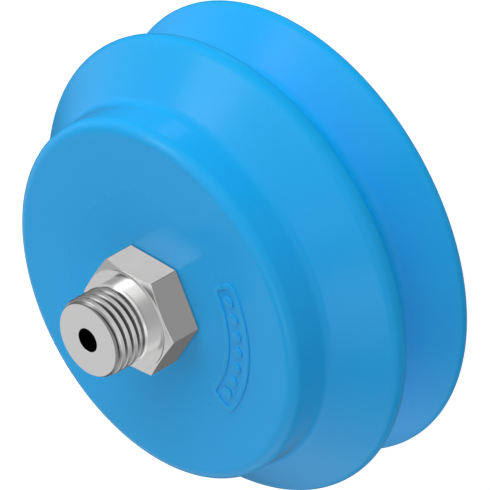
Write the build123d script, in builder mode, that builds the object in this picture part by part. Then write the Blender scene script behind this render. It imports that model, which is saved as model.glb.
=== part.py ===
"""Bellows suction cup, 75 mm, with one and a half folds and a G1/4 male threaded nipple.

Units are millimetres. +Z runs along the cup's axis from the sealing lip to the thread. The origin
is the centre of the circle on which the lip rests, so the part stands on z = 0.

The polyurethane bellows is one moulding. It is divided here into the rings that move against
each other when it folds and tilts, so that each ring is a sub-part of its own.
"""

import math
import os

from build123d import *

# Driving dimensions of the moulding's outer surface, as radius and height
CROWN_HEIGHT = 30.8  # height of the crown's flat top above the lip
CROWN_RADIUS = 30.2
NECK_CORNER = (CROWN_RADIUS, 23.7)  # where the side wall turns out into the upper wall
CREST_CORNER = (39.55, 15.05)  # widest part of the bellows, before rounding
WAIST_CORNER = (30.8, 9.3)  # groove between the fold and the skirt
LIP_CORNER = (39.3, 0.0)  # rim of the skirt, before rounding
OUTER_ROUNDINGS = (2.0, 2.5, 2.3, 2.0, 1.3)  # crown edge, neck, crest, waist, lip rim

LAND_MIDDLE = (35.0, 0.0)  # on the lip's flat land, where the outer outline meets the inner one

# The same corners on the inner surface, from the lip's flat land up to the crown
LAND_INNER = (33.9, 0.0)
LAND_TOP = (34.25, 2.4)
WAIST_INNER = (27.6, 9.7)
CREST_INNER = (35.9, 15.2)
NECK_INNER = (27.6, 23.0)
CROWN_UNDERSIDE = 25.8
INNER_ROUNDINGS = (0.5, 1.0, 4.0, 1.2, 2.5, 1.5)

# Heights at which the moulding divides into rings, from the crown down
RIM_CUT = 27.4
NECK_CUT_TOP = 25.2
NECK_CUT_BOTTOM = 24.6
CREST_CUT_TOP = 16.6
CREST_CUT_BOTTOM = 14.0
WAIST_CUT_TOP = 10.2
WAIST_CUT_BOTTOM = 8.6
LIP_CUT = 2.4
FREE_FLANGE_RADIUS = 26.9  # inside this the crown stays thick, outside it the neck can bend

# Cleats under the crown, which keep air passages open when the cup is pressed flat
CLEAT_COUNT = 12
CLEAT_INNER_RADIUS = 21.0
CLEAT_LENGTH = 4.6
CLEAT_WIDTH = 1.8
CLEAT_DEPTH = 1.4

# Nipple: hexagon, G1/4 parallel pipe thread, plain collar, shank through the crown, M10x1 tail
HEX_ACROSS_FLATS = 17.0
HEX_HEIGHT = 6.3
HEX_SEAT_RADIUS = 9.6  # where the corners are just broken, on the crown
HEX_CHAMFER_RADIUS = 8.6  # where they are turned off, towards the thread
HEX_CHAMFER_ANGLE = 30.0
THREAD_LENGTH = 8.0  # from the hexagon's face to the end of the nipple
THREAD_PITCH = 25.4 / 19
THREAD_CREST_RADIUS = 13.157 / 2
THREAD_ROOT_RADIUS = 11.445 / 2
THREAD_FLANK_HALF_ANGLE = 27.5
THREAD_CRESTS = 4
THREAD_FIRST_CREST = 1.15  # from the end face
THREAD_LEAD_RADIUS = 6.05
COLLAR_RADIUS = 6.5
COLLAR_LENGTH = 1.8
COLLAR_CHAMFER = 0.25
SHANK_RADIUS = 6.0
TAIL_RADIUS = 5.0
TAIL_LENGTH = 8.2
TAIL_CHAMFER = 0.8
BORE_RADIUS = 2.0

# Clamping parts inside the cup
PLATE_RADIUS = 20.0
PLATE_THICKNESS = 1.8
PLATE_EDGE = 0.6
NUT_ACROSS_FLATS = 14.0
NUT_HEIGHT = 4.5
NUT_CHAMFER_RADIUS = 6.9

hex_face = CROWN_HEIGHT + HEX_HEIGHT
nipple_end = hex_face + THREAD_LENGTH
tail_end = CROWN_UNDERSIDE - TAIL_LENGTH
plate_underside = CROWN_UNDERSIDE - PLATE_THICKNESS
nut_underside = plate_underside - NUT_HEIGHT


def save(block, label):
    """Labels a finished sub-part and writes its STEP file."""
    block.part.label = label
    export_step(block.part, f"parts/{label}.step")


def height_band(bottom, top):
    """A disc that covers the whole moulding between two heights."""
    with BuildPart() as band:
        with BuildSketch(Plane.XY.offset(bottom)):
            Circle(CREST_CORNER[0])
        extrude(amount=top - bottom)
    return band.part


def moulding_ring(bottom, top):
    """The part of the moulding between two heights."""
    with BuildPart() as ring:
        add(moulding.part)
        add(height_band(bottom, top), mode=Mode.INTERSECT)
    return ring


def chamfered_hexagon(across_flats, bottom, height, bottom_chamfer_radius, top_chamfer_radius):
    """A hexagon with flats towards +Y and -Y, whose corners are turned off at both ends."""
    corner_radius = across_flats / math.sqrt(3)
    slope = math.tan(math.radians(HEX_CHAMFER_ANGLE))
    bottom_drop = (corner_radius - bottom_chamfer_radius) * slope
    top_drop = (corner_radius - top_chamfer_radius) * slope
    top = bottom + height
    with BuildPart() as hexagon:
        with BuildSketch(Plane.XZ):
            with BuildLine():
                Polyline(
                    (0, bottom),
                    (bottom_chamfer_radius, bottom),
                    (corner_radius, bottom + bottom_drop),
                    (corner_radius, top - top_drop),
                    (top_chamfer_radius, top),
                    (0, top),
                    close=True,
                )
            make_face()
        revolve(axis=Axis.Z)
        with BuildSketch(Plane.XY.offset(bottom)):
            RegularPolygon(corner_radius, 6, major_radius=True)
        extrude(amount=height, mode=Mode.INTERSECT)
    return hexagon.part


def thread_outline():
    """Radius and height of each corner of the threaded end, from the end face to the undercut."""
    depth = THREAD_CREST_RADIUS - THREAD_ROOT_RADIUS
    flank = depth * math.tan(math.radians(THREAD_FLANK_HALF_ANGLE))
    half_flat = (THREAD_PITCH / 2 - flank) / 2
    first_crest = nipple_end - THREAD_FIRST_CREST
    corners = [(THREAD_LEAD_RADIUS, nipple_end)]
    corners.append((THREAD_ROOT_RADIUS, first_crest + half_flat + flank))
    for turn in range(THREAD_CRESTS):
        crest = first_crest - turn * THREAD_PITCH
        corners.append((THREAD_CREST_RADIUS, crest + half_flat))
        corners.append((THREAD_CREST_RADIUS, crest - half_flat))
        corners.append((THREAD_ROOT_RADIUS, crest - half_flat - flank))
        if turn < THREAD_CRESTS - 1:
            corners.append((THREAD_ROOT_RADIUS, crest - THREAD_PITCH + half_flat + flank))
    return corners


os.makedirs("parts", exist_ok=True)

# The whole moulding, as one revolved wall
with BuildPart() as moulding:
    with BuildSketch(Plane.XZ):
        with BuildLine():
            outer = FilletPolyline(
                (SHANK_RADIUS, CROWN_HEIGHT),
                (CROWN_RADIUS, CROWN_HEIGHT),
                NECK_CORNER,
                CREST_CORNER,
                WAIST_CORNER,
                LIP_CORNER,
                LAND_MIDDLE,
                radius=OUTER_ROUNDINGS,
            )
            inner = FilletPolyline(
                outer @ 1,
                LAND_INNER,
                LAND_TOP,
                WAIST_INNER,
                CREST_INNER,
                NECK_INNER,
                (NECK_INNER[0], CROWN_UNDERSIDE),
                (SHANK_RADIUS, CROWN_UNDERSIDE),
                radius=INNER_ROUNDINGS,
            )
            Line(inner @ 1, outer @ 0)
        make_face()
    revolve(axis=Axis.Z)

# Crown: the thick top of the moulding, with its flange free of the neck, and the cleats under it
with BuildPart() as cup_crown:
    add(moulding.part)
    add(height_band(RIM_CUT, CROWN_HEIGHT), mode=Mode.INTERSECT)
    with BuildSketch(Plane.XY.offset(CROWN_UNDERSIDE)):
        Circle(FREE_FLANGE_RADIUS)
        Circle(SHANK_RADIUS, mode=Mode.SUBTRACT)
    extrude(amount=RIM_CUT - CROWN_UNDERSIDE)
    with BuildSketch(Plane.XY.offset(CROWN_UNDERSIDE - CLEAT_DEPTH)):
        with PolarLocations(CLEAT_INNER_RADIUS + CLEAT_LENGTH / 2, CLEAT_COUNT):
            SlotOverall(CLEAT_LENGTH, CLEAT_WIDTH)
    extrude(amount=CLEAT_DEPTH)
save(cup_crown, "cup_crown")

# Neck wall: the ring that bends when the bellows tilts on its crown
with BuildPart() as neck_wall:
    add(moulding.part)
    add(height_band(NECK_CUT_TOP, RIM_CUT), mode=Mode.INTERSECT)
    with BuildSketch(Plane.XY.offset(NECK_CUT_TOP)):
        Circle(FREE_FLANGE_RADIUS)
    extrude(amount=RIM_CUT - NECK_CUT_TOP, mode=Mode.SUBTRACT)
save(neck_wall, "neck_wall")

# The other rings of the moulding, each the full wall between two heights
ring_heights = {
    "neck_ring": (NECK_CUT_BOTTOM, NECK_CUT_TOP),
    "upper_wall": (CREST_CUT_TOP, NECK_CUT_BOTTOM),
    "bellows_crest": (CREST_CUT_BOTTOM, CREST_CUT_TOP),
    "lower_wall": (WAIST_CUT_TOP, CREST_CUT_BOTTOM),
    "waist_ring": (WAIST_CUT_BOTTOM, WAIST_CUT_TOP),
    "skirt_wall": (LIP_CUT, WAIST_CUT_BOTTOM),
    "sealing_lip": (0.0, LIP_CUT),
}
for label, (bottom, top) in ring_heights.items():
    save(moulding_ring(bottom, top), label)

# Threaded nipple: hexagon, thread with its undercut and collar, shank, tail and vacuum bore
with BuildPart() as threaded_nipple:
    add(
        chamfered_hexagon(
            HEX_ACROSS_FLATS, CROWN_HEIGHT, HEX_HEIGHT, HEX_SEAT_RADIUS, HEX_CHAMFER_RADIUS
        )
    )
    with BuildSketch(Plane.XZ):
        with BuildLine():
            Polyline(
                (BORE_RADIUS, nipple_end),
                *thread_outline(),
                (THREAD_ROOT_RADIUS, hex_face + COLLAR_LENGTH + COLLAR_CHAMFER),
                (COLLAR_RADIUS, hex_face + COLLAR_LENGTH),
                (COLLAR_RADIUS, hex_face),
                (SHANK_RADIUS, hex_face),
                (SHANK_RADIUS, CROWN_UNDERSIDE),
                (TAIL_RADIUS, CROWN_UNDERSIDE),
                (TAIL_RADIUS, tail_end + TAIL_CHAMFER),
                (TAIL_RADIUS - TAIL_CHAMFER, tail_end),
                (BORE_RADIUS, tail_end),
                close=True,
            )
        make_face()
    revolve(axis=Axis.Z)
    with BuildSketch(Plane.XY.offset(tail_end)):
        Circle(BORE_RADIUS)
    extrude(amount=nipple_end - tail_end, mode=Mode.SUBTRACT)
save(threaded_nipple, "threaded_nipple")

# Support plate: the disc that holds the crown against the hexagon
with BuildPart() as support_plate:
    with BuildSketch(Plane.XY.offset(plate_underside)):
        Circle(PLATE_RADIUS)
        Circle(TAIL_RADIUS, mode=Mode.SUBTRACT)
    extrude(amount=PLATE_THICKNESS)
    rim_edges = support_plate.edges().filter_by(GeomType.CIRCLE).sort_by(SortBy.RADIUS)[-2:]
    fillet(rim_edges, radius=PLATE_EDGE)
save(support_plate, "support_plate")

# Clamp nut: thin hexagon nut on the nipple's tail
with BuildPart() as clamp_nut:
    add(
        chamfered_hexagon(
            NUT_ACROSS_FLATS, nut_underside, NUT_HEIGHT, NUT_CHAMFER_RADIUS, NUT_CHAMFER_RADIUS
        )
    )
    with BuildSketch(Plane.XY.offset(nut_underside)):
        Circle(TAIL_RADIUS)
    extrude(amount=NUT_HEIGHT, mode=Mode.SUBTRACT)
save(clamp_nut, "clamp_nut")
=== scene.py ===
"""Looks of the 75 mm bellows suction cup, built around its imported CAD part.

Outlines are written as radius and height in millimetres, in the part's frame, and become metres
when a mesh is made. +Z runs along the cup's axis, from the sealing lip up to the pipe thread.
"""

import math

import bmesh
import bpy
import numpy as np
from mathutils import Matrix, Vector


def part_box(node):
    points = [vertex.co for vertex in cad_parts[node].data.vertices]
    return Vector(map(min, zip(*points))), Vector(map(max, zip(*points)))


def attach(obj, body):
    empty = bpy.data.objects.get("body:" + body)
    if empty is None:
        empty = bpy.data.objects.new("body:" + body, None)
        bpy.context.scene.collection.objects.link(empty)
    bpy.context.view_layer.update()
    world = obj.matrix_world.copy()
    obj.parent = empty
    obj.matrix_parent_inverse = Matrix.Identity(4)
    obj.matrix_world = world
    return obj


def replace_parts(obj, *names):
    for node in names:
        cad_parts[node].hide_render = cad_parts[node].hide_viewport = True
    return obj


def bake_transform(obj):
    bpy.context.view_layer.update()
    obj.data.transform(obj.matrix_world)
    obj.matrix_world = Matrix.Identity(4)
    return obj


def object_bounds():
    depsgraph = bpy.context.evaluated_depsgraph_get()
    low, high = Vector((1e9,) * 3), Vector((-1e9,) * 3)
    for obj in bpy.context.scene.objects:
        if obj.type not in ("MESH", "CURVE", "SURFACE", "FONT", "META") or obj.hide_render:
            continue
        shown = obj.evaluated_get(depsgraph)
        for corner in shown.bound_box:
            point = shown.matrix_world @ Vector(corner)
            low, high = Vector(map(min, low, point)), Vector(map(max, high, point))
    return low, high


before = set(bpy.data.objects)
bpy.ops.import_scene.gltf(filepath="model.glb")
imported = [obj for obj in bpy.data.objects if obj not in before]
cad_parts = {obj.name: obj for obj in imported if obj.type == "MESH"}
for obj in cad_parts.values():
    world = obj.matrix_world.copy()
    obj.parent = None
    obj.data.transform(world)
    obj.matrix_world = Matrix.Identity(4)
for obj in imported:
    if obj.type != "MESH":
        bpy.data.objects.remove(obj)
cad_low, cad_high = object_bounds()

MM = 0.001


def height_range(node):
    """Lowest and highest point of a CAD node, in millimetres."""
    low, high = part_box(node)
    return low.z / MM, high.z / MM


# ---------------------------------------------------------------- sizes, in millimetres

nipple_low, nipple_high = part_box("threaded_nipple")
TAIL_END, NIPPLE_END = height_range("threaded_nipple")
CROWN_TOP = height_range("cup_crown")[1]
PLATE_BOTTOM, CROWN_UNDERSIDE = height_range("support_plate")
NUT_BOTTOM, NUT_TOP = height_range("clamp_nut")
HEX_FLATS = (nipple_high.y - nipple_low.y) / MM
NUT_FLATS = (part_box("clamp_nut")[1].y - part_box("clamp_nut")[0].y) / MM
PLATE_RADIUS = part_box("support_plate")[1].x / MM

# Moulding, as in the CAD part: corners of the outer and the inner surface, and their roundings
SHANK_RADIUS = 6.0
OUTER_CORNERS = [
    (SHANK_RADIUS, CROWN_TOP),
    (30.2, CROWN_TOP),
    (30.2, 23.7),
    (39.55, 15.05),
    (30.8, 9.3),
    (39.3, 0.0),
    (35.0, 0.0),
]
OUTER_ROUNDINGS = [2.0, 2.5, 2.3, 2.0, 1.3]
INNER_CORNERS = [
    (35.0, 0.0),
    (33.9, 0.0),
    (34.25, 2.4),
    (27.6, 9.7),
    (35.9, 15.2),
    (27.6, 23.0),
    (27.6, CROWN_UNDERSIDE),
    (SHANK_RADIUS, CROWN_UNDERSIDE),
]
INNER_ROUNDINGS = [0.5, 1.0, 4.0, 1.2, 2.5, 1.5]
NECK_SEAM = 24.9  # the moulding's pieces meet where its outer surface stands upright
CREST_SEAM = 15.2
WAIST_SEAM = 9.35
FLEX_TOP = 28.6  # above this the side wall stays with the crown
FLEX_INNER_RADIUS = 25.5
FLEX_OUTER_RADIUS = 27.6
LIP_TOP = 1.3  # below this the skirt stays with the lip
GLOSS = 0.5
FOLD_TOP = 15.3  # the gloss fades away downwards from this height
FOLD_TOP_FADE = 1.3  # and is gone after this much
FOLD_BOTTOM = 8.4  # and upwards from this one
FOLD_BOTTOM_FADE = 1.2
DULLNESS = 0.14  # roughness added in the middle
DULL_RADIUS = 10.0  # outwards from here it grows less
DULL_FADE = 18.0
MOULDING_TURN = 216  # divisions of a full turn
MOULDING_STEP = 0.7  # longest straight step along the outline

CLEAT_COUNT = 12
CLEAT_MIDDLE_RADIUS = 23.3
CLEAT_LENGTH = 4.6
CLEAT_WIDTH = 1.8
CLEAT_DEPTH = 1.4
CLEAT_SUNK = 0.3  # into the crown
CLEAT_EDGE = 0.25

METAL_TURN = 144  # divisions of a full turn
HEX_TOP = CROWN_TOP + 6.3
HEX_CORNER = 0.22  # rounding of its upright corners
HEX_EDGE = 0.05  # rounding of its other edges
HEX_SEAT_RADIUS = 8.1
HEX_SEAT_STEP = 0.18  # the rest of the lower face stands this far back
HEX_SEAT_SLOPE = 0.02
HEX_FACE_RADIUS = 8.25
HEX_FACE_STEP = 0.34
HEX_FACE_SLOPE = 0.30  # of the corners turned off outside the raised face
COLLAR_RADIUS = 6.5
COLLAR_LENGTH = 1.8
COLLAR_CHAMFER = 0.28
PIPE_PITCH = 25.4 / 19
PIPE_CREST = 13.157 / 2
PIPE_LEAD = 6.05  # radius at the end face
PIPE_LEAD_SLOPE = 0.55
PIPE_GROOVE = 5.79  # bottom of the thread's groove, as it shows
PIPE_CREST_WIDTH = 0.46
PIPE_CREST_SLOPE = 0.36
PIPE_FIRST_CREST = 1.27  # below the end face, on the side of the camera
PIPE_NECK = 6.22  # plain neck between the thread and the collar
PIPE_RUNOUT = (39.40, 39.80)  # the groove fades away between these heights
TAIL_PITCH = 1.0
TAIL_CREST = 5.0
TAIL_ROOT = 4.42
TAIL_UNDERCUT = 0.3
BORE_RADIUS = 2.0
NUT_HOLE = TAIL_CREST + 0.02
NUT_MOUTH = TAIL_CREST + 0.35


# ---------------------------------------------------------------- camera

VIEW_AZIMUTH = 44.25  # of the camera as seen from the part, from +X towards +Y
VIEW_ELEVATION = 35.43
VIEW_ROLL = -119.43
VIEW_DISTANCE = 3.0
LENS_MM = 1436.2
FRAMING_RIGHT = 0.00622  # the optical axis passes this far from the aim point
FRAMING_UP = 0.00451
AIM_POINT = Vector((0.0, 0.0, 0.020))


def make_camera():
    azimuth, elevation, roll = map(math.radians, (VIEW_AZIMUTH, VIEW_ELEVATION, VIEW_ROLL))
    back = Vector(
        (
            math.cos(elevation) * math.cos(azimuth),
            math.cos(elevation) * math.sin(azimuth),
            math.sin(elevation),
        )
    )
    level_right = Vector((0, 0, 1)).cross(back).normalized()
    level_up = back.cross(level_right)
    right = level_right * math.cos(roll) + level_up * math.sin(roll)
    up = level_up * math.cos(roll) - level_right * math.sin(roll)
    data = bpy.data.cameras.new("camera")
    data.lens = LENS_MM
    data.sensor_width = 36.0
    data.clip_start = 0.1
    data.clip_end = 20.0
    camera = bpy.data.objects.new("camera", data)
    bpy.context.scene.collection.objects.link(camera)
    turn = Matrix((right, up, back)).transposed().to_4x4()
    place = AIM_POINT + right * FRAMING_RIGHT + up * FRAMING_UP + back * VIEW_DISTANCE
    camera.matrix_world = Matrix.Translation(place) @ turn
    bpy.context.scene.camera = camera


# ---------------------------------------------------------------- outlines

def left_of(direction):
    return np.array((-direction[1], direction[0]))


def rounded_outline(corners, radii, step, arc_step=math.radians(7)):
    """Points and outward normals along a line of straight runs with rounded corners.

    The outline keeps the material on its right, so outward is to its left.
    """
    corners = [np.array(c, float) for c in corners]
    points, normals = [], []
    start = corners[0]
    for k in range(1, len(corners)):
        run = corners[k] - corners[k - 1]
        direction = run / np.linalg.norm(run)
        is_last = k == len(corners) - 1
        trim = 0.0
        if not is_last:
            following = corners[k + 1] - corners[k]
            following = following / np.linalg.norm(following)
            cross = direction[0] * following[1] - direction[1] * following[0]
            turn = math.atan2(cross, float(direction @ following))
            radius = radii[k - 1]
            trim = radius * math.tan(abs(turn) / 2)
        end = corners[k] - direction * trim
        length = np.linalg.norm(end - start)
        pieces = max(1, math.ceil(length / step))
        for i in range(pieces + (1 if is_last else 0)):
            points.append(start + (end - start) * i / pieces)
            normals.append(left_of(direction))
        if is_last:
            break
        side = math.copysign(1.0, turn)
        centre = end + left_of(direction) * radius * side
        pieces = max(2, math.ceil(abs(turn) / arc_step))
        for i in range(pieces):
            angle = turn * i / pieces
            cos, sin = math.cos(angle), math.sin(angle)
            across = direction[0] * cos - direction[1] * sin
            heading = np.array((across, direction[0] * sin + direction[1] * cos))
            points.append(centre - left_of(heading) * radius * side)
            normals.append(left_of(heading))
        start = corners[k] + following * trim
    return np.array(points), np.array(normals)


def between_heights(outline, first, last):
    """The stretch of an outline from height first to height last, cut exactly at both."""
    points, normals = outline
    low, high = min(first, last), max(first, last)
    found_points, found_normals = [], []
    for i in range(len(points)):
        z = points[i][1]
        if low <= z <= high:
            found_points.append(points[i])
            found_normals.append(normals[i])
        if i + 1 == len(points):
            break
        crossings = []
        for level in (first, last):
            a, b = z - level, points[i + 1][1] - level
            if a * b < 0:
                crossings.append(a / (a - b))
        for t in sorted(crossings):
            found_points.append(points[i] * (1 - t) + points[i + 1] * t)
            normal = normals[i] * (1 - t) + normals[i + 1] * t
            found_normals.append(normal / np.linalg.norm(normal))
    return np.array(found_points), np.array(found_normals)


def straight(first, last, step=50.0):
    """A straight stretch of outline from one point to another."""
    first, last = np.array(first, float), np.array(last, float)
    length = np.linalg.norm(last - first)
    pieces = max(1, math.ceil(length / step))
    points = [first + (last - first) * i / pieces for i in range(pieces + 1)]
    return np.array(points), np.array([left_of((last - first) / length)] * len(points))


# ---------------------------------------------------------------- meshes

def mesh_object(name, points_mm, faces, corner_normals=None):
    """A new object from points in millimetres and faces, shaded smooth."""
    mesh = bpy.data.meshes.new(name)
    mesh.from_pydata((np.asarray(points_mm, float) * MM).tolist(), [], faces)
    mesh.polygons.foreach_set("use_smooth", [True] * len(mesh.polygons))
    mesh.validate()
    mesh.update()
    if corner_normals is not None:
        mesh.normals_split_custom_set(corner_normals)
    piece = bpy.data.objects.new(name, mesh)
    bpy.context.scene.collection.objects.link(piece)
    return piece


def revolved(name, stretches, divisions):
    """A closed ring turned about the axis, from stretches of outline that meet end to end."""
    points, runs = [], []
    for stretch_points, stretch_normals in stretches:
        first = len(points)
        points.extend(stretch_points[:-1])
        for i in range(len(stretch_points) - 1):
            runs.append((first + i, stretch_normals[i], stretch_normals[i + 1]))
    count = len(points)
    angles = [2 * math.pi * j / divisions for j in range(divisions)]
    turned = [(r * math.cos(a), r * math.sin(a), z) for a in angles for r, z in points]
    faces, corner_normals = [], []
    for j in range(divisions):
        k = (j + 1) % divisions
        here, there = angles[j], angles[k]
        for i, normal, next_normal in runs:
            n = (i + 1) % count
            faces.append((j * count + n, k * count + n, k * count + i, j * count + i))
            for (nr, nz), a in (
                (next_normal, here),
                (next_normal, there),
                (normal, there),
                (normal, here),
            ):
                corner_normals.append((nr * math.cos(a), nr * math.sin(a), nz))
    return mesh_object(name, turned, faces, corner_normals)


def joined(name, pieces):
    """One object from several, keeping their shading."""
    for piece in bpy.context.selected_objects:
        piece.select_set(False)
    for piece in pieces:
        piece.select_set(True)
    bpy.context.view_layer.objects.active = pieces[0]
    bpy.ops.object.join()
    pieces[0].name = name
    pieces[0].data.name = name
    return pieces[0]


def smoothstep(t):
    t = np.clip(t, 0.0, 1.0)
    return t * t * (3 - 2 * t)


def points_of(piece):
    """Radius and height of every point of a piece, in millimetres."""
    co = np.zeros(len(piece.data.vertices) * 3)
    piece.data.vertices.foreach_get("co", co)
    x, y, z = (co.reshape(-1, 3) / MM).T
    return np.hypot(x, y), z


def store(piece, name, values):
    """Keeps a number for every point of a piece, for its material."""
    stored = piece.data.attributes.new(name, "FLOAT", "POINT")
    stored.data.foreach_set("value", values.astype(np.float32))


def bend_between(piece, weight):
    """Bakes a piece's placement into its points and works out its share at each point, from its upper
    body to its lower one; the shares are not used.
    """
    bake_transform(piece)
    shares = weight(*points_of(piece)).astype(np.float32)


# ---------------------------------------------------------------- moulding

outer_outline = rounded_outline(OUTER_CORNERS, OUTER_ROUNDINGS, MOULDING_STEP)
inner_outline = rounded_outline(INNER_CORNERS, INNER_ROUNDINGS, MOULDING_STEP)


def moulding_shell(name, top, bottom):
    """The closed ring of the moulding's wall between two heights."""
    outer = between_heights(outer_outline, top, bottom)
    inner = between_heights(inner_outline, bottom, top)
    stretches = [outer]
    if bottom > 0:
        stretches.append(straight(outer[0][-1], inner[0][0]))
    stretches.append(inner)
    stretches.append(straight(inner[0][-1], outer[0][0]))
    return revolved(name, stretches, MOULDING_TURN)


def pad(name, outline_xy, bottom, top, edge):
    """A raised or hanging pad with a softened rim, from the points of its outline."""
    ring = np.array(outline_xy)
    middle = ring.mean(axis=0)
    tangent = np.roll(ring, -1, axis=0) - np.roll(ring, 1, axis=0)
    tangent /= np.linalg.norm(tangent, axis=1)[:, None]
    inward = np.stack((-tangent[:, 1], tangent[:, 0]), axis=1)
    up = math.copysign(1.0, top - bottom)
    rings = [(ring, bottom), (ring, top - up * edge)]
    for angle in (30.0, 60.0, 90.0):
        a = math.radians(angle)
        rings.append((ring + inward * edge * (1 - math.cos(a)), top - up * edge * (1 - math.sin(a))))
    count = len(ring)
    points = [(x, y, z) for level, z in rings for x, y in level]
    points += [(middle[0], middle[1], bottom), (middle[0], middle[1], top)]
    faces = []
    for level in range(len(rings) - 1):
        for i in range(count):
            n = (i + 1) % count
            a, b = level * count, (level + 1) * count
            faces.append((a + i, a + n, b + n, b + i))
    last = (len(rings) - 1) * count
    for i in range(count):
        n = (i + 1) % count
        faces.append((n, i, len(points) - 2))
        faces.append((last + i, last + n, len(points) - 1))
    if up < 0:
        faces = [face[::-1] for face in faces]
    return mesh_object(name, points, faces)


def slot_outline(length, width, middle_radius, angle):
    """Points of a slot with round ends that lies along a radius, in turning order."""
    half = (length - width) / 2
    ends = ((half, -90.0), (-half, 90.0))
    points = []
    for middle, first in ends:
        for i in range(13):
            a = math.radians(first + 15 * i)
            points.append((middle + width / 2 * math.cos(a), width / 2 * math.sin(a)))
    cos, sin = math.cos(angle), math.sin(angle)
    return [
        ((middle_radius + x) * cos - y * sin, (middle_radius + x) * sin + y * cos)
        for x, y in points
    ]


def make_crown():
    outer = between_heights(outer_outline, CROWN_TOP, NECK_SEAM)
    inner = between_heights(inner_outline, NECK_SEAM, CROWN_UNDERSIDE)
    wall = revolved(
        "crown_moulding",
        [
            outer,
            straight(outer[0][-1], inner[0][0]),
            inner,
            straight(inner[0][-1], outer[0][0]),
        ],
        MOULDING_TURN,
    )
    cleats = []
    for i in range(CLEAT_COUNT):
        angle = 2 * math.pi * i / CLEAT_COUNT
        outline = slot_outline(CLEAT_LENGTH, CLEAT_WIDTH, CLEAT_MIDDLE_RADIUS, angle)
        root, foot = CROWN_UNDERSIDE + CLEAT_SUNK, CROWN_UNDERSIDE - CLEAT_DEPTH
        cleats.append(pad(f"cleat_{i}", outline, root, foot, CLEAT_EDGE))
    crown = joined("crown_moulding", [wall, *cleats])

    def share(radius, height):
        """The share is above zero only on the side wall, and the crown's underside has none."""
        down = smoothstep((FLEX_TOP - height) / (FLEX_TOP - NECK_SEAM))
        out = smoothstep((radius - FLEX_INNER_RADIUS) / (FLEX_OUTER_RADIUS - FLEX_INNER_RADIUS))
        return down * out

    bend_between(crown, share)
    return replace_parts(crown, "cup_crown", "neck_wall")


def make_upper_fold():
    fold = moulding_shell("upper_fold_moulding", NECK_SEAM, CREST_SEAM)

    def share(radius, height):
        return (NECK_SEAM - height) / (NECK_SEAM - CREST_SEAM)

    bend_between(fold, share)
    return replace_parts(fold, "neck_ring", "upper_wall", "bellows_crest")


def make_lower_fold():
    fold = moulding_shell("lower_fold_moulding", CREST_SEAM, WAIST_SEAM)

    def share(radius, height):
        return smoothstep((CREST_SEAM - height) / (CREST_SEAM - WAIST_SEAM))

    bend_between(fold, share)
    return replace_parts(fold, "lower_wall", "waist_ring")


def make_skirt():
    skirt = moulding_shell("skirt_moulding", WAIST_SEAM, 0.0)

    def share(radius, height):
        return np.clip((WAIST_SEAM - height) / (WAIST_SEAM - LIP_TOP), 0.0, 1.0)

    bend_between(skirt, share)
    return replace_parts(skirt, "skirt_wall", "sealing_lip")


# ---------------------------------------------------------------- generic mark on the crown

MARK_START = -38.0  # degrees from +X
MARK_END = 36.0
MARK_INNER_RADIUS = 15.6
MARK_OUTER_RADIUS = 20.8
MARK_HEIGHT = 0.28
MARK_SUNK = 0.3  # into the crown
MARK_EDGE = 0.12
MARK_FRAME_WIDTH = 0.9
MARK_CORNER = 1.3
PIP_COUNT = 7
PIP_RADIUS = 0.95


def sector_outline(inner, outer, start, end, corner):
    """A ring sector with round corners, in turning order, with angles in degrees."""
    points = []
    spots = (
        (outer - corner, start, corner, -90.0, 1),
        (outer - corner, end, corner, 0.0, -1),
        (inner + corner, end, corner, 90.0, -1),
        (inner + corner, start, corner, 180.0, 1),
    )
    for radius, angle, size, first, side in spots:
        inset = math.degrees(size / radius) * side
        middle = math.radians(angle + inset)
        cx, cy = radius * math.cos(middle), radius * math.sin(middle)
        for i in range(9):
            a = middle + math.radians(first + 90.0 * i / 8)
            points.append((cx + size * math.cos(a), cy + size * math.sin(a)))
        if first in (-90.0, 90.0):
            edge = outer if first < 0 else inner
            inset = math.degrees(size / edge)
            stop = end - inset if first < 0 else start + inset
            begin = math.degrees(middle)
            for i in range(1, 24):
                a = math.radians(begin + (stop - begin) * i / 24)
                points.append((edge * math.cos(a), edge * math.sin(a)))
    return points


def raised_frame(name, outer_points, inner_points, bottom, top, edge):
    """A raised band between two outlines with the same number of points."""
    count = len(outer_points)
    outer_ring, inner_ring = np.array(outer_points), np.array(inner_points)
    across = (inner_ring - outer_ring) / np.linalg.norm(inner_ring - outer_ring, axis=1)[:, None]
    inward = across * edge
    rings = [
        (outer_ring, bottom),
        (outer_ring, top - edge),
        (outer_ring + inward * 0.3, top - edge * 0.3),
        (outer_ring + inward, top),
        (inner_ring - inward, top),
        (inner_ring - inward * 0.3, top - edge * 0.3),
        (inner_ring, top - edge),
        (inner_ring, bottom),
    ]
    points = [(x, y, z) for ring, z in rings for x, y in ring]
    faces = []
    for level in range(len(rings)):
        following = (level + 1) % len(rings)
        for i in range(count):
            n = (i + 1) % count
            a, b = level * count, following * count
            faces.append((a + i, a + n, b + n, b + i))
    return mesh_object(name, points, faces)


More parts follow.
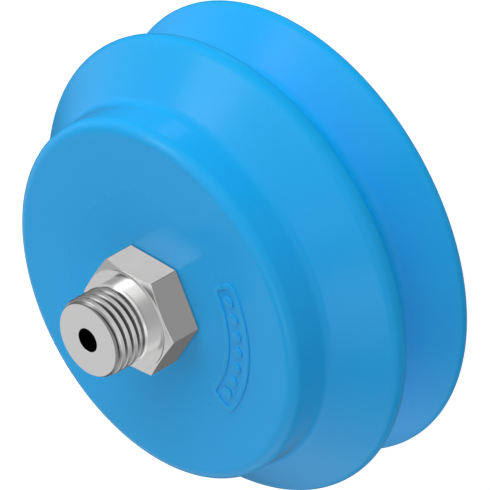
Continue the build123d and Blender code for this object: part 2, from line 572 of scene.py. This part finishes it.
def make_mark():
    """A plain frame with a row of pips, raised on the crown beside the nipple."""
    low, high = CROWN_TOP - MARK_SUNK, CROWN_TOP + MARK_HEIGHT
    radius = (MARK_INNER_RADIUS + MARK_OUTER_RADIUS) / 2
    outline = sector_outline(
        MARK_INNER_RADIUS, MARK_OUTER_RADIUS, MARK_START, MARK_END, MARK_CORNER
    )
    side = math.degrees(MARK_FRAME_WIDTH / radius)
    inside = sector_outline(
        MARK_INNER_RADIUS + MARK_FRAME_WIDTH,
        MARK_OUTER_RADIUS - MARK_FRAME_WIDTH,
        MARK_START + side,
        MARK_END - side,
        MARK_CORNER - MARK_FRAME_WIDTH * 0.7,
    )
    pieces = [raised_frame("mark_frame", outline, inside, low, high, MARK_EDGE)]
    for i in range(PIP_COUNT):
        angle = math.radians(MARK_START + (MARK_END - MARK_START) * (i + 1) / (PIP_COUNT + 1))
        x, y = radius * math.cos(angle), radius * math.sin(angle)
        turns = [math.radians(10 * k) for k in range(36)]
        ring = [(x + PIP_RADIUS * math.cos(a), y + PIP_RADIUS * math.sin(a)) for a in turns]
        pieces.append(pad(f"mark_pip_{i}", ring, low, high, MARK_EDGE))
    mark = joined("crown_mark", pieces)
    mark.data.set_sharp_from_angle(angle=math.radians(35))
    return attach(mark, "fitting")


# ---------------------------------------------------------------- metal pieces

def softened(columns, size):
    """Each column's line of points with its inner corners cut back by up to the given size."""
    out = [columns[:, :1]]
    for k in range(1, columns.shape[1] - 1):
        here, before, after = columns[:, k], columns[:, k - 1], columns[:, k + 1]
        to_before, to_after = before - here, after - here
        reach_before = np.linalg.norm(to_before, axis=1, keepdims=True)
        reach_after = np.linalg.norm(to_after, axis=1, keepdims=True)
        cut_before = np.minimum(size, reach_before * 0.45) / np.maximum(reach_before, 1e-9)
        cut_after = np.minimum(size, reach_after * 0.45) / np.maximum(reach_after, 1e-9)
        first, last = here + to_before * cut_before, here + to_after * cut_after
        out += [first[:, None], ((first + 2 * here + last) / 4)[:, None], last[:, None]]
    out.append(columns[:, -1:])
    return np.concatenate(out, axis=1)


def turned_columns(name, columns, angles):
    """A surface from one line of (radius, height) points for each angle of the turn."""
    count = columns.shape[1]
    r, z = columns[:, :, 0], columns[:, :, 1]
    x, y = r * np.cos(angles)[:, None], r * np.sin(angles)[:, None]
    points = np.stack((x, y, z), axis=2).reshape(-1, 3)
    faces = []
    for j in range(len(angles)):
        k = (j + 1) % len(angles)
        for i in range(count - 1):
            faces.append((j * count + i + 1, k * count + i + 1, k * count + i, j * count + i))
    return mesh_object(name, points, faces)


def turned(name, outline):
    """A surface turned about the axis from one line of (radius, height) points."""
    angles = np.arange(METAL_TURN) * 2 * math.pi / METAL_TURN
    return turned_columns(name, np.tile(np.array(outline), (METAL_TURN, 1, 1)), angles)


def hexagon_angles(apothem, rounding):
    """Angles round a hexagon, closer together at its corners, and its radius at each.

    Two of the flats face +Y and -Y.
    """
    tangent = math.atan((apothem - rounding) * math.tan(math.radians(30)) / apothem)
    flat = np.linspace(0, tangent, 12)
    corner = np.linspace(tangent, math.radians(30), 6)[1:]
    half = np.concatenate((flat, corner))
    centre = (apothem - rounding) / math.cos(math.radians(30))
    from_corner = math.radians(30) - half
    rounded = centre * np.cos(from_corner) + np.sqrt(
        np.maximum(rounding**2 - (centre * np.sin(from_corner)) ** 2, 0)
    )
    radii = np.where(half <= tangent + 1e-9, apothem / np.cos(half), rounded)
    sector = np.concatenate((-half[:0:-1], half[:-1]))
    sector_radii = np.concatenate((radii[:0:-1], radii[:-1]))
    angles = np.concatenate([sector + math.radians(30 + 60 * i) for i in range(6)])
    return angles, np.tile(sector_radii, 6)


def hexagon_piece(name, flats, low_end, high_end):
    """A hexagon between two faces with their corners turned off.

    Each end is its height, the radius of its hole, the radius of its raised face, the height of
    that face and the slope of the turned corners outside it.
    """
    angles, radii = hexagon_angles(flats / 2, HEX_CORNER)
    rows = []
    for sign, (height, hole, face, step, slope) in ((-1, high_end), (1, low_end)):
        foot = face + 0.1
        same = np.ones_like(radii)
        rows.append(
            [
                (same * hole, same * height),
                (same * face, same * height),
                (same * foot, same * (height + sign * step)),
                (radii, height + sign * (step + (radii - foot) * slope)),
            ]
        )
    columns = np.array(rows[0] + rows[1][::-1]).transpose(2, 0, 1)
    return turned_columns(name, softened(columns, HEX_EDGE), angles)


def thread_profile(pitch, crest, root, crest_width, slope, samples=5):
    """Heights and radii over one pitch, from the middle of a crest's band.

    The band stands out most at its lower edge, and the groove beside it is a V.
    """
    corners = [
        (0.0, crest - slope * crest_width / 2),
        (crest_width / 2, crest - slope * crest_width),
        (pitch / 2, root),
        (pitch - crest_width / 2, crest),
        (pitch, crest - slope * crest_width / 2),
    ]
    points = []
    for first, last in zip(corners, corners[1:]):
        share = np.arange(samples)[:, None] / samples
        points.append(np.array(first) * (1 - share) + np.array(last) * share)
    return np.concatenate(points)


def helical_thread(name, bottom, top, pitch, profile, first_crest, lead, neck, runout):
    """A right-hand thread on its own cylinder.

    first_crest is the height of a crest at angle 0. lead is the radius at the top and the slope
    down from it, and below the runout heights the groove has faded into a neck.
    """
    turns = math.ceil((top - bottom) / pitch) + 3
    lowest = first_crest + math.floor((bottom - 1.5 * pitch - first_crest) / pitch) * pitch
    rows = turns * len(profile)
    angles = np.arange(METAL_TURN + 1) * 2 * math.pi / METAL_TURN
    climb = (np.arange(turns)[:, None] * pitch + profile[:, 0]).reshape(1, rows)
    height = np.clip(lowest + climb + angles[:, None] / (2 * math.pi) * pitch, bottom, top)
    radius = np.tile(profile[:, 1], turns)[None, :].repeat(METAL_TURN + 1, axis=0)
    faded = smoothstep((runout[1] - height) / (runout[1] - runout[0]))
    radius = radius * (1 - faded) + neck * faded
    radius = np.minimum(radius, lead[0] + (top - height) * lead[1])
    x = radius * np.cos(angles)[:, None]
    y = radius * np.sin(angles)[:, None]
    points = np.stack((x, y, height), axis=2).reshape(-1, 3)
    faces = []
    level = height.ravel()
    for j in range(METAL_TURN):
        for i in range(rows - 1):
            a, b = j * rows + i, (j + 1) * rows + i
            corners = (a, b, b + 1, a + 1)
            heights = [level[c] for c in corners]
            if max(heights) - min(heights) > 1e-6:
                faces.append(corners)
    return merged(mesh_object(name, points, faces))


def merged(piece):
    """The piece with its coinciding points joined."""
    mesh = bmesh.new()
    mesh.from_mesh(piece.data)
    bmesh.ops.remove_doubles(mesh, verts=mesh.verts, dist=1e-6)
    bmesh.ops.dissolve_degenerate(mesh, edges=mesh.edges, dist=1e-7)
    mesh.to_mesh(piece.data)
    mesh.free()
    return piece


def shade_metal(piece):
    """Shades flats flat and turned faces round."""
    mesh = bmesh.new()
    mesh.from_mesh(piece.data)
    bmesh.ops.recalc_face_normals(mesh, faces=mesh.faces)
    mesh.to_mesh(piece.data)
    mesh.free()
    piece.data.polygons.foreach_set("use_smooth", [True] * len(piece.data.polygons))
    piece.data.set_sharp_from_angle(angle=math.radians(13))
    modifier = piece.modifiers.new("weighted_normals", "WEIGHTED_NORMAL")
    modifier.keep_sharp = True
    modifier.weight = 90


def make_nipple():
    collar_top = HEX_TOP + COLLAR_LENGTH
    thread_bottom = collar_top - 0.08
    undercut = CROWN_UNDERSIDE - TAIL_UNDERCUT
    pieces = [
        hexagon_piece(
            "nipple_hexagon",
            HEX_FLATS,
            (CROWN_TOP, SHANK_RADIUS, HEX_SEAT_RADIUS, HEX_SEAT_STEP, HEX_SEAT_SLOPE),
            (HEX_TOP, COLLAR_RADIUS, HEX_FACE_RADIUS, HEX_FACE_STEP, HEX_FACE_SLOPE),
        ),
        turned(
            "nipple_collar",
            [
                (PIPE_NECK, thread_bottom),
                (COLLAR_RADIUS, thread_bottom - COLLAR_CHAMFER),
                (COLLAR_RADIUS, HEX_TOP),
            ],
        ),
        turned(
            "nipple_bore",
            [
                (PIPE_LEAD, NIPPLE_END),
                (BORE_RADIUS + 0.03, NIPPLE_END),
                (BORE_RADIUS, NIPPLE_END - 0.03),
                (BORE_RADIUS, TAIL_END + 0.2),
            ],
        ),
        turned(
            "nipple_shank",
            [
                (SHANK_RADIUS, CROWN_TOP),
                (SHANK_RADIUS, CROWN_UNDERSIDE),
                (TAIL_ROOT, CROWN_UNDERSIDE),
                (TAIL_ROOT, undercut),
            ],
        ),
        turned(
            "nipple_tail_end",
            [
                (TAIL_ROOT - 0.25, TAIL_END),
                (BORE_RADIUS + 0.2, TAIL_END),
                (BORE_RADIUS, TAIL_END + 0.2),
            ],
        ),
        helical_thread(
            "nipple_pipe_thread",
            thread_bottom,
            NIPPLE_END,
            PIPE_PITCH,
            thread_profile(PIPE_PITCH, PIPE_CREST, PIPE_GROOVE, PIPE_CREST_WIDTH, PIPE_CREST_SLOPE),
            NIPPLE_END - PIPE_FIRST_CREST - VIEW_AZIMUTH / 360 * PIPE_PITCH,
            (PIPE_LEAD, PIPE_LEAD_SLOPE),
            PIPE_NECK,
            PIPE_RUNOUT,
        ),
        helical_thread(
            "nipple_tail_thread",
            TAIL_END,
            undercut,
            TAIL_PITCH,
            thread_profile(TAIL_PITCH, TAIL_CREST, TAIL_ROOT, 0.15, 0.0),
            TAIL_END,
            (TAIL_ROOT, 3.0),
            TAIL_ROOT - 0.25,
            (TAIL_END, TAIL_END + 0.8),
        ),
    ]
    nipple = joined("nipple", pieces)
    shade_metal(nipple)
    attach(nipple, "fitting")
    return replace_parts(nipple, "threaded_nipple")


def make_nut():
    face = NUT_FLATS / 2 - 0.25
    body = hexagon_piece(
        "clamp_nut_body",
        NUT_FLATS,
        (NUT_BOTTOM, NUT_MOUTH, face, 0.06, 0.5),
        (NUT_TOP, NUT_MOUTH, face, 0.06, 0.5),
    )
    bore = turned(
        "clamp_nut_bore",
        [
            (NUT_MOUTH, NUT_BOTTOM),
            (NUT_HOLE, NUT_BOTTOM + 0.35),
            (NUT_HOLE, NUT_TOP - 0.35),
            (NUT_MOUTH, NUT_TOP),
        ],
    )
    nut = joined("clamp_nut_turned", [body, bore])
    shade_metal(nut)
    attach(nut, "fitting")
    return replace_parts(nut, "clamp_nut")


def make_plate():
    corners = [
        (NUT_HOLE, CROWN_UNDERSIDE),
        (PLATE_RADIUS, CROWN_UNDERSIDE),
        (PLATE_RADIUS, PLATE_BOTTOM),
        (NUT_HOLE, PLATE_BOTTOM),
    ]
    outline = rounded_outline(corners, [0.6, 0.6], 3.0, math.radians(18))
    plate = revolved("support_disc", [outline, straight(corners[-1], corners[0])], METAL_TURN)
    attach(plate, "fitting")
    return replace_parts(plate, "support_plate")


# ---------------------------------------------------------------- materials

def new_material(name):
    material = bpy.data.materials.new(name)
    material.use_nodes = True
    return material, material.node_tree.nodes, material.node_tree.links


def noise(nodes, links, source, scale, detail, roughness=0.5, dimensions="3D"):
    node = nodes.new("ShaderNodeTexNoise")
    node.noise_dimensions = dimensions
    node.inputs["Scale"].default_value = scale
    node.inputs["Detail"].default_value = detail
    node.inputs["Roughness"].default_value = roughness
    links.new(source, node.inputs["W" if dimensions == "1D" else "Vector"])
    return node.outputs["Fac"]


def ranged(nodes, links, source, low, high):
    """The source, from 0.3 to 0.7, spread over a range."""
    node = nodes.new("ShaderNodeMapRange")
    node.inputs["From Min"].default_value = 0.3
    node.inputs["From Max"].default_value = 0.7
    node.inputs["To Min"].default_value = low
    node.inputs["To Max"].default_value = high
    links.new(source, node.inputs["Value"])
    return node.outputs["Result"]


def stepped(nodes, links, source_metres, first_mm, last_mm, low, high):
    """Runs smoothly from low to high between two lengths."""
    node = nodes.new("ShaderNodeMapRange")
    node.interpolation_type = "SMOOTHSTEP"
    node.inputs["From Min"].default_value = first_mm * MM
    node.inputs["From Max"].default_value = last_mm * MM
    node.inputs["To Min"].default_value = low
    node.inputs["To Max"].default_value = high
    links.new(source_metres, node.inputs["Value"])
    return node.outputs["Result"]


def worked_out(nodes, links, operation, first, second):
    """The sum or the larger of two numbers."""
    node = nodes.new("ShaderNodeMath")
    node.operation = operation
    links.new(first, node.inputs[0])
    links.new(second, node.inputs[1])
    return node.outputs["Value"]


def stored_number(nodes, name):
    """The number that store() kept for each point."""
    node = nodes.new("ShaderNodeAttribute")
    node.attribute_name = name
    return node.outputs["Fac"]


def clouded(nodes, links, clouds, first, second):
    """A colour that drifts between two."""
    mix = nodes.new("ShaderNodeMix")
    mix.data_type = "RGBA"
    mix.inputs["A"].default_value = (*first, 1.0)
    mix.inputs["B"].default_value = (*second, 1.0)
    links.new(clouds, mix.inputs["Factor"])
    return mix.outputs["Result"]


def bump(nodes, links, height, distance, strength, previous=None):
    node = nodes.new("ShaderNodeBump")
    node.inputs["Distance"].default_value = distance
    node.inputs["Strength"].default_value = strength
    links.new(height, node.inputs["Height"])
    if previous is not None:
        links.new(previous, node.inputs["Normal"])
    return node.outputs["Normal"]


def make_polyurethane():
    """Blue moulded polyurethane: satin, with a fine spark-eroded grain and faint cloudiness."""
    material, nodes, links = new_material("polyurethane")
    shader = nodes["Principled BSDF"]
    place = nodes.new("ShaderNodeTexCoord").outputs["Object"]
    clouds = noise(nodes, links, place, 90.0, 3.0)
    color = clouded(nodes, links, clouds, (0.0045, 0.425, 0.93), (0.0060, 0.440, 0.96))
    links.new(color, shader.inputs["Base Color"])
    grain = noise(nodes, links, place, 5200.0, 2.0)
    ripple = noise(nodes, links, place, 420.0, 2.0)
    first = bump(nodes, links, grain, 0.00003, 0.12)
    links.new(bump(nodes, links, ripple, 0.00006, 0.06, first), shader.inputs["Normal"])
    patchy = ranged(nodes, links, clouds, 0.18, 0.21)
    roughness = worked_out(nodes, links, "ADD", patchy, stored_number(nodes, "dullness"))
    links.new(roughness, shader.inputs["Roughness"])
    links.new(stored_number(nodes, "gloss"), shader.inputs["Specular IOR Level"])
    shader.inputs["IOR"].default_value = 1.5
    return material


def store_gloss(piece):
    """Gives a piece of the moulding its gloss and its added roughness, for its material.

    The folds face each other and see only themselves, so they have no gloss. The middle of the crown
    is rougher, so that it mirrors the hexagon less.
    """
    radius, height = points_of(piece)
    below_crest = smoothstep((FOLD_TOP - height) / FOLD_TOP_FADE)
    above_waist = smoothstep((height - FOLD_BOTTOM) / FOLD_BOTTOM_FADE)
    store(piece, "gloss", GLOSS * (1.0 - below_crest * above_waist))
    outward = smoothstep((radius - DULL_RADIUS) / DULL_FADE)
    store(piece, "dullness", DULLNESS * (1.0 - outward))


def make_metal(name, color_low, color_high, rough_low, rough_high, mark_strength, grooves=None):
    """Turned metal, whose fine marks follow the radius on end faces and the height on side faces.

    grooves: painted shade in the thread's grooves, given as the radius of their bottom, the radius
    from which no shade is painted, first and last height, and how much of the colour their bottom
    keeps.
    """
    material, nodes, links = new_material(name)
    shader = nodes["Principled BSDF"]
    shader.inputs["Metallic"].default_value = 1.0
    place = nodes.new("ShaderNodeTexCoord").outputs["Object"]
    parts = nodes.new("ShaderNodeSeparateXYZ")
    links.new(place, parts.inputs["Vector"])
    flat = nodes.new("ShaderNodeCombineXYZ")
    links.new(parts.outputs["X"], flat.inputs["X"])
    links.new(parts.outputs["Y"], flat.inputs["Y"])
    radius = nodes.new("ShaderNodeVectorMath")
    radius.operation = "LENGTH"
    links.new(flat.outputs["Vector"], radius.inputs[0])
    across = noise(nodes, links, radius.outputs["Value"], 9000.0, 3.0, 0.6, "1D")
    along = noise(nodes, links, parts.outputs["Z"], 9000.0, 3.0, 0.6, "1D")
    clouds = noise(nodes, links, place, 260.0, 3.0)
    color = clouded(nodes, links, clouds, color_low, color_high)
    # painted shade: the colour darkens towards the bottom of the grooves, where shade falls, between
    # the given heights
    if grooves is not None:
        bottom, unshaded_radius, first_height, last_height, shade = grooves
        share = stepped(nodes, links, radius.outputs["Value"], bottom, unshaded_radius, shade, 1.0)
        height = parts.outputs["Z"]
        below = stepped(nodes, links, height, first_height - 0.1, first_height, 1.0, 0.0)
        above = stepped(nodes, links, height, last_height - 0.03, last_height, 0.0, 1.0)
        for other in (below, above):
            share = worked_out(nodes, links, "MAXIMUM", share, other)
        painted_groove_shade = nodes.new("ShaderNodeVectorMath")
        painted_groove_shade.operation = "SCALE"
        links.new(color, painted_groove_shade.inputs[0])
        links.new(share, painted_groove_shade.inputs["Scale"])
        color = painted_groove_shade.outputs["Vector"]
    links.new(color, shader.inputs["Base Color"])
    links.new(ranged(nodes, links, clouds, rough_low, rough_high), shader.inputs["Roughness"])
    first = bump(nodes, links, across, 0.00002, mark_strength)
    links.new(bump(nodes, links, along, 0.00002, mark_strength, first), shader.inputs["Normal"])
    return material


# ---------------------------------------------------------------- studio

def direction_of(azimuth, elevation):
    a, e = math.radians(azimuth), math.radians(elevation)
    return (math.cos(e) * math.cos(a), math.cos(e) * math.sin(a), math.sin(e))


SOFT_LIGHTS = [  # azimuth and elevation they come from, width (degrees), strength
    (87.5, 16.5, 51.2, 1.18),
    (-62.0, 8.0, 140.0, 1.90),
    (139.0, -1.0, 144.0, 2.52),
]
AMBIENT_LEVEL = 0.10  # for the matt surfaces, from all round
WINDOW_LEVELS = (0.17, 0.60)  # for the glossy surfaces, below and above the horizon
WINDOWS = [  # azimuth, elevation, full within, nothing beyond (degrees), level added
    (113.0, 65.0, 30.0, 42.0, 0.42),
    (3.0, 66.0, 15.0, 25.0, 0.35),
    (136.0, 40.0, 6.0, 16.0, 0.9),
    (-31.0, 58.0, 10.0, 22.0, 0.60),
    (-80.0, 15.0, 10.0, 30.0, 0.20),
    (135.8, -35.4, 3.5, 7.5, 0.48),
    (212.0, -36.0, 10.0, 40.0, -0.08),
    (18.0, 73.0, 2.0, 56.0, -0.35),
    (186.0, 33.0, 17.0, 22.0, -0.20),
    (20.0, -36.0, 15.0, 50.0, 0.11),
]


def make_world():
    """A white studio, seen by the camera as plain white and by the glossy surfaces as windows."""
    world = bpy.data.worlds.new("studio")
    bpy.context.scene.world = world
    world.use_nodes = True
    world.cycles.sampling_method = "NONE"
    nodes, links = world.node_tree.nodes, world.node_tree.links
    heading = nodes.new("ShaderNodeTexCoord").outputs["Generated"]

    def faded(azimuth, elevation, dark, bright, low, high):
        """Runs smoothly from low to high as the angle from a direction shrinks from dark to bright."""
        spot = nodes.new("ShaderNodeVectorMath")
        spot.operation = "DOT_PRODUCT"
        links.new(heading, spot.inputs[0])
        spot.inputs[1].default_value = direction_of(azimuth, elevation)
        node = nodes.new("ShaderNodeMapRange")
        node.interpolation_type = "SMOOTHSTEP"
        node.inputs["From Min"].default_value = math.cos(math.radians(dark))
        node.inputs["From Max"].default_value = math.cos(math.radians(bright))
        node.inputs["To Min"].default_value = low
        node.inputs["To Max"].default_value = high
        links.new(spot.outputs["Value"], node.inputs["Value"])
        return node.outputs["Result"]

    def background(shader, strength):
        shader.inputs["Color"].default_value = (1, 1, 1, 1)
        shader.inputs["Strength"].default_value = strength
        return shader.outputs["Background"]

    def chosen(share, plain, special):
        node = nodes.new("ShaderNodeMixShader")
        links.new(share, node.inputs["Fac"])
        links.new(plain, node.inputs[1])
        links.new(special, node.inputs[2])
        return node.outputs["Shader"]

    total = faded(0, 90, 110, 81, *WINDOW_LEVELS)
    for azimuth, elevation, inner, outer, level in WINDOWS:
        window = faded(azimuth, elevation, outer, inner, 0.0, level)
        total = worked_out(nodes, links, "ADD", total, window)
    seen_glossy = nodes.new("ShaderNodeBackground")
    links.new(total, seen_glossy.inputs["Strength"])
    windows = background(seen_glossy, 1.0)
    ambient = background(nodes.new("ShaderNodeBackground"), AMBIENT_LEVEL)
    backdrop = background(nodes["Background"], 1.0)
    path = nodes.new("ShaderNodeLightPath")
    light = chosen(path.outputs["Is Glossy Ray"], ambient, windows)
    shown = chosen(path.outputs["Is Camera Ray"], light, backdrop)
    links.new(shown, nodes["World Output"].inputs["Surface"])


def make_soft_lights():
    """The lights of the matt surfaces. The glossy ones see the windows of the world instead."""
    for azimuth, elevation, width, strength in SOFT_LIGHTS:
        data = bpy.data.lights.new("soft_light", "SUN")
        data.energy = strength
        data.angle = math.radians(width)
        data.cycles.use_multiple_importance_sampling = False
        light = bpy.data.objects.new("soft_light", data)
        towards = Vector(direction_of(azimuth, elevation))
        light.rotation_euler = towards.to_track_quat("Z", "Y").to_euler()
        light.visible_glossy = False
        bpy.context.scene.collection.objects.link(light)


def make_floor():
    """A plain pale floor, which shows to the camera and does not light the object."""
    mesh = bpy.data.meshes.new("floor")
    half = 3.0  # metres
    level = cad_low.z - 0.0001
    mesh.from_pydata(
        [(-half, -half, level), (half, -half, level), (half, half, level), (-half, half, level)],
        [],
        [(0, 1, 2, 3)],
    )
    floor = bpy.data.objects.new("floor", mesh)
    bpy.context.scene.collection.objects.link(floor)
    material, nodes, _ = new_material("floor_white")
    shader = nodes["Principled BSDF"]
    shader.inputs["Base Color"].default_value = (0.4, 0.4, 0.4, 1)
    shader.inputs["Roughness"].default_value = 1.0
    shader.inputs["Specular IOR Level"].default_value = 0.0
    shader.inputs["Emission Color"].default_value = (1, 1, 1, 1)
    shader.inputs["Emission Strength"].default_value = 0.88
    mesh.materials.append(material)
    floor.visible_diffuse = False
    floor.visible_glossy = False
    floor.visible_transmission = False
    floor.visible_shadow = False


# ---------------------------------------------------------------- the scene

make_camera()
bpy.context.scene.view_settings.view_transform = "Standard"
make_soft_lights()

blue = make_polyurethane()
# painted shade in the pipe thread's grooves: colour darkened below a radius of 6.48 mm, down to 0.40
# at 6.24 mm
pipe_groove_shade = (6.24, 6.48, HEX_TOP + 1.9, NIPPLE_END, 0.40)
bright_metal = make_metal(
    "nipple_metal", (0.90, 0.90, 0.90), (0.93, 0.93, 0.925), 0.13, 0.17, 0.08, pipe_groove_shade
)
plate_metal = make_metal("plate_metal", (0.62, 0.62, 0.61), (0.68, 0.68, 0.67), 0.34, 0.42, 0.15)
nut_metal = make_metal("nut_metal", (0.56, 0.56, 0.55), (0.63, 0.62, 0.61), 0.26, 0.34, 0.12)

for piece in (make_crown(), make_upper_fold(), make_lower_fold(), make_skirt(), make_mark()):
    piece.data.materials.clear()
    piece.data.materials.append(blue)
    piece.visible_glossy = False  # the metal in the photograph does not mirror the moulding
    store_gloss(piece)

plate, nut = make_plate(), make_nut()
plate.visible_glossy = False
nut.visible_glossy = False
for piece, metal in ((make_nipple(), bright_metal), (plate, plate_metal), (nut, nut_metal)):
    piece.data.materials.clear()
    piece.data.materials.append(metal)

make_world()
make_floor()
